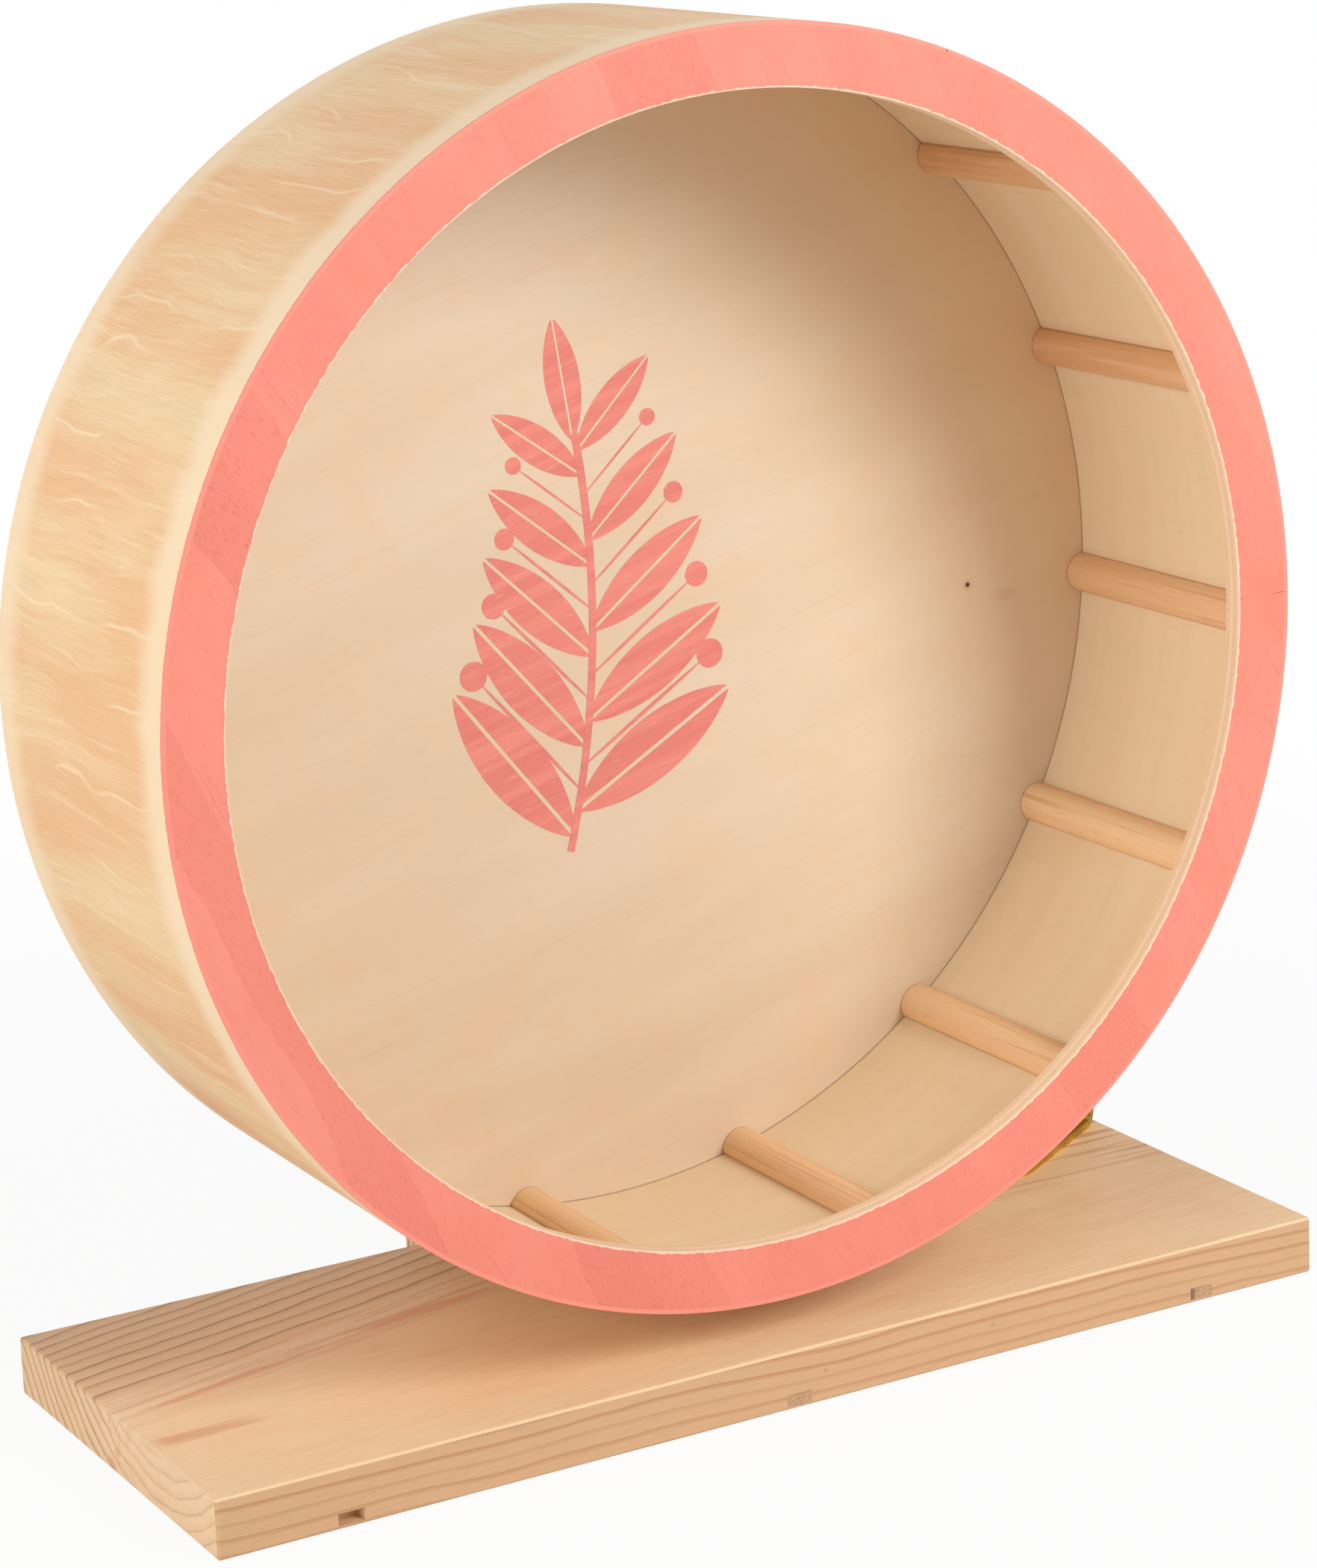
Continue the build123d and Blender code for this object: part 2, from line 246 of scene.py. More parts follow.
class Finish(Graph):
    """One material. Its places are in millimetres, in the parts' own frame."""

    def __init__(self, name):
        self.material = bpy.data.materials.new(name)
        self.material.use_nodes = True
        super().__init__(self.material.node_tree)
        self.tree.nodes.clear()
        coordinates = self.node("ShaderNodeTexCoord", output=3)
        self.place = self.scaled(coordinates, (1000, 1000, 1000))
        self.x, self.y, self.z = self.parts(self.place)

    def scaled(self, vector, factors):
        return self.node("ShaderNodeVectorMath", {"operation": "MULTIPLY"}, {0: vector, 1: factors})

    def noise(self, vector, scale, detail=2.0, roughness=0.5, distortion=0.0):
        """Soft noise from 0 to 1; a scale of 1 has features of about a millimetre."""
        sockets = {"Vector": vector, "Scale": scale, "Detail": detail}
        sockets.update({"Roughness": roughness, "Distortion": distortion})
        return self.node("ShaderNodeTexNoise", inputs=sockets)

    def cloud(self, scale, *settings):
        """Noise that runs in no direction."""
        return self.noise(self.scaled(self.place, (scale, scale, scale)), 1.0, *settings)

    def lot(self, number):
        """A random value from 0 to 1 that belongs to a whole number."""
        return self.node("ShaderNodeTexWhiteNoise", {"noise_dimensions": "1D"}, {"W": number})

    def mix(self, factor, first, second):
        settings = {"data_type": "RGBA"}
        return self.node("ShaderNodeMix", settings, {0: factor, 6: first, 7: second}, output=2)

    def layers(self, colour, *layers):
        """Lays tints over a colour, each one where its mask is 1."""
        for mask, tint in layers:
            colour = self.mix(mask, colour, shown(*tint))
        return colour

    def close(self, colour, roughness, height=None, bump=0.1, metallic=0.0, **constants):
        """Wires the surface: colour, roughness, and a bump whose height is in millimetres."""
        shader = self.tree.nodes.new("ShaderNodeBsdfPrincipled")
        self.feed(shader.inputs["Base Color"], colour)
        self.feed(shader.inputs["Roughness"], roughness)
        self.feed(shader.inputs["Metallic"], metallic)
        for name, value in constants.items():
            shader.inputs[name.replace("_", " ")].default_value = value
        if height is not None:
            relief = {"Height": height, "Distance": MM, "Strength": bump}
            self.feed(shader.inputs["Normal"], self.node("ShaderNodeBump", inputs=relief))
        output = self.tree.nodes.new("ShaderNodeOutputMaterial")
        self.tree.links.new(shader.outputs[0], output.inputs[0])
        print("finish", self.material.name, "with", len(self.tree.nodes), "nodes")
        return self.material


# %% [markdown]
# ## The room
# The world is white where the camera, or a mirror-like surface, looks straight at it,
# and a quieter grey as a light. The floor is a wide sheet with the same trick.

# %% World and floor
world = bpy.data.worlds.new("room")
world.use_nodes = True
bpy.context.scene.world = world
room = Graph(world.node_tree)
room.tree.nodes.clear()
path = room.node("ShaderNodeLightPath")
ray_kinds = ("Is Camera Ray", "Is Glossy Ray", "Is Transmission Ray")
ray_sockets = path.socket.node.outputs
is_camera, is_glossy, is_transmission = [Value(room, ray_sockets[kind]) for kind in ray_kinds]
seen_directly = is_camera.math("MAXIMUM", is_glossy).math("MAXIMUM", is_transmission)
room_light = 0.39
strength = seen_directly * (1 - room_light) + room_light
background = room.node("ShaderNodeBackground", inputs={"Color": (1, 1, 1, 1), "Strength": strength})
room.node("ShaderNodeOutputWorld", inputs={"Surface": background})

floor_mesh = bpy.data.meshes.new("floor")
floor_size = 30
corners = [(x * floor_size, y * floor_size, 0) for x, y in ((-1, -1), (1, -1), (1, 1), (-1, 1))]
floor_mesh.from_pydata(corners, [], [(0, 1, 2, 3)])
floor = bpy.data.objects.new("floor", floor_mesh)
bpy.context.scene.collection.objects.link(floor)
paper = bpy.data.materials.new("floor_paper")
paper.use_nodes = True
sheet = Graph(paper.node_tree)
sheet.tree.nodes.clear()
path = sheet.node("ShaderNodeLightPath")
is_camera = Value(sheet, path.socket.node.outputs["Is Camera Ray"])
plain = sheet.node("ShaderNodeBsdfDiffuse", inputs={"Color": (0.8, 0.8, 0.8, 1)})
glow = sheet.node("ShaderNodeEmission", inputs={"Color": (1, 1, 1, 1), "Strength": 1.0})
floor_place = sheet.node("ShaderNodeTexCoord", output=3)
far_away = sheet.node("ShaderNodeVectorMath", {"operation": "LENGTH"}, {0: floor_place}, output=1)
floor_whiteness = far_away.ramp(0.2, 0.7, 0.92, 1.0)
surface = sheet.node("ShaderNodeMixShader", inputs={0: is_camera * floor_whiteness, 1: plain, 2: glow})
sheet.node("ShaderNodeOutputMaterial", inputs={"Surface": surface})
floor_mesh.materials.append(paper)
print("room light", room_light, "floor", floor_size * 2, "m wide")

# %% [markdown]
# ## Wood
# All the wood comes from a few ideas. Streaks are noise drawn out along the grain. Plies
# are thin layers of a fixed thickness, and every second one shows its end grain. Growth
# rings are shells round the pith of the tree, cut by the faces of the board.
# The turning parts share one extra measure, the distance from the axle.

# %% Streaks, plies and distances
AXLE_Z = axle.z / MM


def in_mm(*lengths):
    return [round(length / MM, 3) for length in lengths]


BAND_RADIUS, BAND_INSIDE, OPENING = in_mm(wheel_radius, running_radius, opening_radius)
BAND_FRONT, BAND_BACK, DISC_FRONT = in_mm(band_low.y, band_high.y, disc_low.y)
RING_FRONT, RING_BACK = in_mm(ring_low.y, ring_high.y)
BOARD_LEFT, BOARD_FRONT, BOARD_TOP = in_mm(board_low.x, board_low.y, board_high.z)


def streaks(finish, along, across, deep, width, length, detail=3.0, roughness=0.55):
    """Noise drawn out along the grain; width and length of a streak are in millimetres."""
    place = finish.vector(along / length, across / width, deep / width)
    return finish.noise(place, 1.0, detail, roughness)


def distance(finish, *parts):
    """Length of a vector of two or three parts."""
    vector = finish.vector(*(*parts, 0)[:3])
    return finish.node("ShaderNodeVectorMath", {"operation": "LENGTH"}, {0: vector}, output=1)


def from_axle(finish):
    return distance(finish, finish.x, finish.z - AXLE_Z)


def turned(finish, degrees_up):
    """Places along and across a direction in the plane of the wheel."""
    a = radians(degrees_up)
    height = finish.z - AXLE_Z
    return finish.x * cos(a) + height * sin(a), height * cos(a) - finish.x * sin(a)


def end_grain_plies(finish, deep, start, thickness):
    """1 in every second ply, and a thin line where two plies are glued."""
    layer = (deep - start) / thickness
    second = (layer * 0.5).math("FRACT").math("GREATER_THAN", 0.5)
    glue_line = ((layer.math("FRACT") - 0.5).math("ABSOLUTE")).ramp(0.45, 0.5)
    return second, glue_line


print("axle", AXLE_Z, "mm above the floor")

# %% [markdown]
# The disc behind the wheel is birch plywood. Its face is pale, with soft streaks that
# rise a little to the right, a few darker pores and one small pin knot, and painted shade
# towards the upper right. A thin dark line follows its rim, where the veneer band meets it:
# a glue joint with painted contact shade.

# %% Birch plywood of the disc
birch = Finish("birch_disc")
along, across = turned(birch, 16)
knot_distance = distance(birch, birch.x - 108.8, birch.z - 162.8)
faint_knot = distance(birch, (birch.x - 119.8) * 0.5, birch.z - 159.0)
bend = knot_distance.ramp(14, 0, 0, 3.0)
sway = (birch.cloud(0.008, 2.0) - 0.5) * 12
across = across + sway + bend
broad = streaks(birch, along, across, birch.y, 26, 150, 2.0).ramp(0.34, 0.66)
middle = streaks(birch, along, across, birch.y, 4.5, 120, 3.0)
fine = streaks(birch, along, across, birch.y, 0.8, 24, 3.0)
pores = streaks(birch, along, across, birch.y, 0.34, 4.5, 1.0).ramp(0.64, 0.78)
mottle = birch.cloud(0.06, 3.0, 0.6)
# Painted shade: the disc is darker towards the upper right.
painted_drum_shade = (birch.x * 0.8 + (birch.z - AXLE_Z) * 0.6).ramp(45, 150, 0, 0.7)
second_ply, glue_line = end_grain_plies(birch, birch.y, DISC_FRONT - 1.5, 1.8)
core = (birch.y - (DISC_FRONT + 4.5)).math("ABSOLUTE").math("LESS_THAN", 4.3)
# A dark line along the rim: the glue joint where the band meets the disc, with painted contact shade.
rim_glue_and_painted_shade = from_axle(birch).ramp(BAND_INSIDE - 0.35, BAND_INSIDE - 0.12, 0, 0.45)
colour = birch.layers(
    shown(224, 201, 173),
    (broad, (228, 207, 181)),
    (middle.ramp(0.52, 0.7, 0, 0.13), (228, 188, 150)),
    (fine.ramp(0.52, 0.72, 0, 0.13), (216, 174, 134)),
    (mottle.ramp(0.5, 0.7, 0, 0.4), (231, 197, 162)),
    (painted_drum_shade, (228, 186, 134)),
    (pores * 0.12, (206, 158, 114)),
    (faint_knot.ramp(2.6, 0.6, 0, 0.25), (205, 150, 100)),
    (knot_distance.ramp(2.0, 0.6, 0, 0.3), (190, 135, 88)),
    (knot_distance.ramp(0.8, 0.4), (72, 44, 30)),
    (core * second_ply * 0.45, (150, 104, 66)),
    (core * glue_line * 0.6, (84, 52, 32)),
    (rim_glue_and_painted_shade, (96, 62, 38)),
)
relief = fine * 0.008 - pores * 0.008
birch.close(colour, fine.ramp(0.3, 0.7, 0.5, 0.62), relief, 1.0, Specular_IOR_Level=0.35)

# %% [markdown]
# The band is one sheet of veneer, bent into a hoop, so its pattern is worked out on the
# unrolled sheet: one measure round the hoop and one across its width. The pores run
# across the width, and pale wavy flames run the same way. Both edges were sanded after
# the glue was dry and stay paler, with a soft, uneven border. The inside is smoother.

# %% Bent veneer of the running band
BAND_JOINT = first_rung_angle + rung_pitch
veneer = Finish("bent_veneer")
cut = radians(BAND_JOINT - 180)
height = veneer.z - AXLE_Z
sheet_x = veneer.x * cos(cut) + height * sin(cut)
sheet_z = height * cos(cut) - veneer.x * sin(cut)
around = sheet_z.math("ARCTAN2", sheet_x) * BAND_RADIUS
outside = from_axle(veneer).math("GREATER_THAN", (BAND_RADIUS + BAND_INSIDE) / 2)
sway = veneer.noise(veneer.vector(around / 60, veneer.y / 60, 0), 1.0, 2.0) - 0.5
flow = around + sway * 9
broad = veneer.noise(veneer.vector(flow / 24, veneer.y / 110, outside * 4), 1.0, 2.0, 0.45)
wave = veneer.noise(veneer.vector(around / 30, veneer.y / 38, outside * 4 + 9), 1.0, 2.0, 0.35) - 0.5
flame = (around + wave * 19) / 9.5
flame_line = (flame.math("FRACT") - 0.5).math("ABSOLUTE").ramp(0.075, 0.0)
flame_part = veneer.noise(veneer.vector(flow / 10, veneer.y / 48, 21), 1.0, 1.0).ramp(0.44, 0.66)
flame_tone = veneer.lot((flame + 0.5).math("FLOOR"))
fine = streaks(veneer, veneer.y, flow, outside * 40, 0.36, 15, 3.0)
pores = streaks(veneer, veneer.y, flow, outside * 40 + 3, 0.26, 4, 1.0).ramp(0.6, 0.74)
veins = streaks(veneer, veneer.y, flow, outside * 40 + 7, 2.4, 80, 3.0, 0.6)
outer = veneer.layers(
    shown(241, 208, 161),
    (broad.ramp(0.38, 0.62), (238, 189, 139)),
    (flame_tone.ramp(0.35, 1.0, 0, 0.3), (239, 186, 135)),
    (veins.ramp(0.5, 0.68, 0, 0.3), (232, 174, 122)),
    (veins.ramp(0.46, 0.3, 0, 0.4), (248, 220, 178)),
    (broad.ramp(0.36, 0.28, 0, 0.5), (232, 206, 156)),
    (fine.ramp(0.5, 0.68, 0, 0.3), (226, 172, 120)),
    (fine.ramp(0.46, 0.32, 0, 0.3), (250, 224, 184)),
    (pores * 0.14, (210, 154, 106)),
    (flame_line * flame_part * fine.ramp(0.3, 0.6, 0.35, 0.75), (252, 226, 188)),
)
edge_noise = veneer.noise(veneer.vector(around / 11, veneer.y / 30, 5), 1.0, 3.0, 0.6) - 0.5
front_border = (veneer.y - (BAND_FRONT + 11.5) + edge_noise * 9).ramp(4.5, -6.0, 0, 0.85)
back_border = (veneer.y - (BAND_BACK - 8.5) + edge_noise * 8).ramp(-5.0, 5.0, 0, 0.75)
outer = veneer.mix(front_border.math("MAXIMUM", back_border), outer, shown(249, 223, 187))
slow = streaks(veneer, around, veneer.y, outside * 40, 7, 160, 2.0)
inner = veneer.layers(
    shown(238, 214, 178),
    (slow.ramp(0.34, 0.66), (241, 218, 184)),
    (fine.ramp(0.52, 0.7, 0, 0.12), (214, 170, 126)),
    (broad.ramp(0.55, 0.7, 0, 0.25), (232, 196, 154)),
)
# Dark lines where the disc and the ring meet the band's inside: glue joints with painted contact shade.
disc_joint_and_painted_shade = (veneer.y - (DISC_FRONT - 0.1)).math("ABSOLUTE").ramp(0.26, 0.08, 0, 0.4)
ring_joint_and_painted_shade = (veneer.y - (RING_BACK + 0.1)).math("ABSOLUTE").ramp(0.3, 0.1, 0, 0.4)
inner = veneer.mix(disc_joint_and_painted_shade.math("MAXIMUM", ring_joint_and_painted_shade), inner, shown(130, 88, 56))
colour = veneer.mix(outside, inner, outer)
chips = veneer.noise(veneer.vector(around / 1.3, veneer.y, 2), 1.0, 4.0, 0.7) - 0.5
on_edge = (veneer.y - (BAND_FRONT + 0.6) + chips * 0.9).math("LESS_THAN", 0)
colour = veneer.mix(on_edge, colour, shown(240, 142, 123))
relief = fine * 0.01 + flame_line * 0.01 - pores * 0.01
veneer.close(colour, fine.ramp(0.3, 0.7, 0.46, 0.6), relief, 1.0, Specular_IOR_Level=0.4)

# %% [markdown]
# The ring in front is plywood as well, with thin coral paint on its face. The wood under
# it stays visible: the paint is darker in slanting patches, and short flecks follow the
# grain. The patches are stronger at the left, which is painted shade on that side.
# Towards the opening the paint ends in a darker line and a ragged pale one, and below it
# the bare plies show.

# %% Coral paint on the front ring
coral = Finish("coral_paint")
along, across = turned(coral, -65)
sway = (coral.cloud(0.02, 2.0) - 0.5) * 12
across = across + sway
middle = streaks(coral, along, across, 0, 2.2, 18, 3.0)
cell = (across + (middle - 0.5) * 3) / 12.5
own_tone = coral.lot(cell.math("FLOOR"))
# Darker paint patches; their extra weight towards the left is painted shade.
paint_patches_and_painted_left_shade = own_tone.ramp(0.4, 0.8) * coral.x.ramp(90, -60, 0.4, 1.0)
flecks = streaks(coral, along, across, 0, 0.36, 2.4, 2.0).ramp(0.54, 0.74)
long_lines = streaks(coral, along, across, 40, 0.6, 34, 2.0).ramp(0.66, 0.76)
broad = coral.cloud(0.02, 3.0)
ragged = (coral.cloud(0.55, 4.0, 0.65) - 0.5) * 0.9
rim = from_axle(coral) + ragged * 1.6
paint = coral.layers(
    shown(237, 140, 121),
    (broad.ramp(0.35, 0.65), (233, 133, 114)),
    (paint_patches_and_painted_left_shade * 0.5, (222, 119, 101)),
    (middle.ramp(0.5, 0.7, 0, 0.2), (230, 128, 109)),
    (flecks * (paint_patches_and_painted_left_shade * 0.4 + middle.ramp(0.4, 0.6, 0.05, 0.35)), (198, 96, 80)),
    (long_lines * 0.35, (196, 94, 76)),
    (rim.ramp(OPENING + 1.1, OPENING + 0.5) * 0.35, (226, 122, 102)),
    (rim.ramp(OPENING + 0.55, OPENING + 0.35) * 0.8, (244, 214, 186)),
)
second_ply, glue_line = end_grain_plies(coral, coral.y, RING_FRONT - 0.4, 1.25)
ply_flecks = coral.noise(coral.vector(coral.x * 1.6, coral.y * 4, coral.z * 1.6), 1.0, 3.0)
bare = coral.layers(
    shown(240, 212, 180),
    (second_ply * ply_flecks.ramp(0.3, 0.7, 0.1, 0.7), (222, 182, 142)),
    (glue_line * 0.3, (150, 108, 76)),
)
is_painted = (coral.y + ragged * 0.35).math("LESS_THAN", RING_FRONT + 0.45)
colour = coral.mix(is_painted, bare, paint)
relief = flecks * -0.012 + middle * 0.02 + ragged * 0.01
coral.close(colour, middle.ramp(0.35, 0.65, 0.5, 0.62), relief, 1.0, Specular_IOR_Level=0.4)

# %% [markdown]
# The rungs are half-round hardwood rods, glued flat side down. Each rod has its own tone,
# and a rod high up in the wheel gets painted shade. The dark lines at the rods' ends and
# along their sides are glue joints with painted contact shade. The rods' tree of shapes
# stores two things with each of them: the place on the rod, before it was turned round the
# wheel, and a number for the rod. The finish reads both by name.

# %% Half-round wood of the rungs
rod = Finish("rung_wood")
rod_place = rod.node("ShaderNodeAttribute", {"attribute_name": "rod_place"}, output=1)
rod_number = rod.node("ShaderNodeAttribute", {"attribute_name": "rod_number"}, output=2)
rod_up, rod_along, rod_side = rod.parts(rod.scaled(rod_place, (1000, 1000, 1000)))
own = rod_number * 37.7
tone = rod.lot(rod_number)
broad = streaks(rod, rod_along, rod_side + own, rod_up, 3.4, 80, 2.0)
stripe = streaks(rod, rod_along, rod_side + own, rod_up + 9, 1.3, 120, 2.0)
fine = streaks(rod, rod_along, rod_side + own, rod_up + 4, 0.36, 8, 3.0)
# Painted shade: rods high up in the wheel are darker.
painted_shade_high_up = (rod.z - AXLE_Z).ramp(-70, 70)
rod_end = (rod_along - (DISC_FRONT + RING_BACK) / 2).math("ABSOLUTE")
half_length = (DISC_FRONT - RING_BACK) / 2
colour = rod.layers(
    shown(246, 210, 165),
    (painted_shade_high_up * 0.7 + tone * 0.3, (221, 170, 122)),
    (broad.ramp(0.46, 0.64, 0, 0.5), (242, 202, 160)),
    (stripe.ramp(0.56, 0.68, 0, 0.45), (206, 146, 96)),
    (fine.ramp(0.52, 0.72, 0, 0.25), (206, 150, 104)),
    # Dark glue lines with painted contact shade at both rod ends and along both sides.
    (rod_end.ramp(half_length - 0.5, half_length - 0.1, 0, 0.6), (130, 84, 52)),
    (rod_side.math("ABSOLUTE").ramp(4.8, 4.98, 0, 0.35), (120, 76, 46)),
)
relief = fine * 0.015 + stripe * 0.02 + broad * 0.03
rod.close(colour, fine.ramp(0.3, 0.7, 0.5, 0.64), relief, 1.0, Specular_IOR_Level=0.35)

# %% [markdown]
# The base is one softwood board. Its lines are growth rings: shells round the pith of the
# tree, which lay above the board and ran at a slant to it. Each ring darkens slowly and
# ends in a sharp dark line, so the same formula gives long lines on the top and arches on
# the ends. The lines are strong at the back and faint in front, and the front face has
# level stripes of its own. A small resin mark lies at the left, brown streaks at the right.

# %% Softwood of the base board
pine = Finish("pine_board")
drift = pine.noise(pine.vector(pine.x / 110, pine.y / 60, pine.z / 60), 1.0, 2.0) - 0.5
waver = pine.noise(pine.vector(pine.x / 34, pine.y / 12, pine.z / 12), 1.0, 2.0) - 0.5
from_left = pine.x - BOARD_LEFT
border = from_left * 0.24 + 5 + drift * 14
from_pith = distance(pine, pine.y - from_left * 0.24 + 22, pine.z - 59) + drift * 5 + waver * 1.6
ring_count = (from_pith - 52.5 + (drift + waver) * 1.5) / 3.7
phase = ring_count.math("FRACT")
year_tone = pine.lot(ring_count.math("FLOOR"))
late = phase.ramp(0.35, 0.93) * phase.ramp(1.0, 0.95)
late_line = phase.ramp(0.76, 0.92) * phase.ramp(1.0, 0.95)
top_face = pine.z.math("GREATER_THAN", BOARD_TOP - 0.6)
front_face = pine.y.math("LESS_THAN", BOARD_FRONT + 0.6) * (1 - top_face)
strong = (pine.y - border).ramp(-3, 4, 0.03, 1.0)
strong = strong * top_face + (1 - top_face) * (pine.y - border).ramp(-14, 6, 0.35, 0.8)
stripe_height = pine.z + drift * 5 + waver * 1.2 + pine.x * 0.006
stripe_count = (stripe_height + waver * 1.4) / 3.4
stripe_phase = stripe_count.math("FRACT")
stripe_tone = pine.lot(stripe_count.math("FLOOR"))
stripe = stripe_phase.ramp(0.55, 0.92) * stripe_phase.ramp(1.0, 0.94) * front_face
stripe = stripe * (stripe_tone * 0.6 + 0.4)
fine = streaks(pine, pine.x, pine.y, pine.z, 0.5, 22, 3.0)
hair = streaks(pine, pine.x, pine.y, pine.z, 0.22, 5, 2.0)
pink = streaks(pine, pine.x, pine.y - pine.x * 0.2, pine.z, 5, 70, 2.0)
blotch = pine.noise(pine.vector(pine.x / 45, pine.y / 22, pine.z / 22), 1.0, 3.0, 0.6)
near_border = (pine.y - border + 6).math("ABSOLUTE").ramp(11, 2)
back_tone = (pine.y - border).ramp(-3, 8, 0, 0.8)
streaky = streaks(pine, pine.x, pine.y, pine.z, 2.4, 60, 3.0).ramp(0.5, 0.62)
far_right = (pine.x - 50).ramp(0, 60) * (pine.y + 8).ramp(0, 20) * top_face
converging = streaks(pine, pine.x, pine.y - from_left * 0.24, pine.z, 1.5, 60, 2.0).ramp(0.5, 0.62)
resin = (pine.y + 21 + waver * 4).math("ABSOLUTE").ramp(3.4, 0.8) * from_left.ramp(0, 5)
resin = resin * (from_left - 24 + waver * 16).ramp(6, -6)
scuff = distance(pine, (pine.x + 73) * 0.3, pine.z - 12.4) + waver * 2 + hair
specks = pine.cloud(0.35, 1.0).ramp(0.78, 0.82)
# A ragged painted highlight along the top front edge of the board.
edge_z = (pine.z - BOARD_TOP).math("ABSOLUTE").ramp(0.9, 0.2)
edge_y = (pine.y - BOARD_FRONT).math("ABSOLUTE").ramp(0.9, 0.2)
painted_edge_highlight = edge_z * edge_y * fine.ramp(0.42, 0.6)
colour = pine.layers(
    shown(237, 204, 165),
    (fine.ramp(0.35, 0.65), (232, 197, 156)),
    (blotch.ramp(0.45, 0.7, 0, 0.4), (225, 182, 140)),
    (pink.ramp(0.5, 0.66) * (near_border * 0.7 + 0.08), (218, 152, 114)),
    (back_tone * (top_face * 0.75 + 0.25), (224, 182, 140)),
    (late * strong * (1 - front_face) * 0.45, (190, 142, 98)),
    (late_line * strong * (1 - front_face) * (year_tone * 0.5 + 0.5) * 0.85, (150, 104, 66)),
    (streaky * far_right * 0.6, (186, 126, 88)),
    (converging * near_border * top_face * 0.4, (190, 136, 94)),
    (resin * fine.ramp(0.3, 0.6, 0.35, 0.7) * top_face, (206, 138, 98)),
    (front_face * 0.8, (203, 159, 118)),
    (stripe * 0.75, (184, 130, 88)),
    (hair.ramp(0.58, 0.7, 0, 0.18), (190, 140, 98)),
    (scuff.ramp(1.6, 0.6, 0, 0.3) * front_face, (160, 150, 136)),
    (specks * 0.25, (130, 88, 56)),
    (painted_edge_highlight * 0.5, (242, 210, 172)),
)
relief = late * 0.03 + fine * 0.03 + hair * 0.02
pine.close(colour, fine.ramp(0.3, 0.7, 0.52, 0.68), relief, 1.0, Specular_IOR_Level=0.35)

# %% [markdown]
# Two of the three slots in the board's front edge hold small plugs. Their wood is older
# and greyer, with end grain, and painted shade on the left side where the plug sits a
# little deep.

# %% Greyish wood of the plugs
plug = Finish("plug_wood_grain")
grit = plug.noise(plug.vector(plug.x * 1.4, plug.y, plug.z * 3), 1.0, 4.0, 0.65)
lines = streaks(plug, plug.x, plug.z, plug.y, 0.5, 5, 2.0)
# Painted shade on the plug's left side, where it sits a little deep.
painted_recess_shade = (plug.x - 110.9).ramp(0.5, -0.3) * plug.x.math("GREATER_THAN", 60)
colour = plug.layers(
    shown(178, 140, 106),
    (grit.ramp(0.35, 0.65), (206, 168, 130)),
    (lines.ramp(0.5, 0.7, 0, 0.5), (140, 108, 82)),
    (painted_recess_shade * 0.7, (104, 78, 60)),
)
plug.close(colour, grit.ramp(0.3, 0.7, 0.65, 0.85), grit * 0.12, 1.0, Specular_IOR_Level=0.3)

# %% [markdown]
# The upright and the hub are cut from thicker plywood. Seen on the face it is pale birch
# with upright streaks; on every cut edge the plies show as thin stripes, long grain and
# end grain in turn, with a dark glue line between them.

# %% Thick plywood of the upright and the hub


def thick_plywood(name, grain_angle, face_y, ply, first, second):
    """Plywood whose plies are stacked along Y from face_y."""
    wood = Finish(name)
    along, across = turned(wood, grain_angle)
    sway = (wood.cloud(0.015, 2.0) - 0.5) * 14
    across = across + sway
    broad = streaks(wood, along, across, wood.y, 12, 150, 2.0).ramp(0.36, 0.64)
    cathedral = streaks(wood, along, across, wood.y, 3.0, 60, 3.0)
    fine = streaks(wood, along, across, wood.y, 0.7, 22, 3.0)
    second_ply, glue_line = end_grain_plies(wood, wood.y, face_y, ply)
    grit = wood.noise(wood.vector(wood.x * 1.8, wood.y * 3, wood.z * 1.8), 1.0, 3.0)
    colour = wood.layers(
        shown(*first),
        (broad, second),
        (cathedral.ramp(0.5, 0.66, 0, 0.45), (206, 160, 116)),
        (fine.ramp(0.5, 0.7, 0, 0.4), (196, 150, 108)),
        (second_ply * grit.ramp(0.3, 0.7, 0.35, 0.95), (176, 126, 84)),
        (glue_line * 0.55, (92, 58, 36)),
    )
    relief = fine * 0.02 + cathedral * 0.02 - second_ply * grit * 0.03
    return wood.close(colour, fine.ramp(0.3, 0.7, 0.5, 0.66), relief, 1.0, Specular_IOR_Level=0.35)


# A face lies inside its outer ply, never on a glue line, so its first ply starts earlier.
upright_face, hub_face = upright_low.y / MM - 0.25, hub_low.y / MM - 0.25
upright_tones = (228, 190, 150), (236, 204, 168)
hub_tones = (226, 188, 148), (238, 206, 170)
upright_wood = thick_plywood("upright_plywood", 90, upright_face, 1.42, *upright_tones)
hub_wood = thick_plywood("hub_plywood", 35, hub_face, 1.5, *hub_tones)

# %% [markdown]
# ## Metal, rubber and nylon
# The screws, the bolt and the bearing are small, but each has its own surface. Zinc plate
# is a bright metal with a faint cloud of crystals. Yellow zinc has a thin coloured film
# that turns olive and pink where the sheet was bent. Hardened steel is darker and
# smoother, and shows the fine rings of the grinding wheel.

# %% Metal finishes


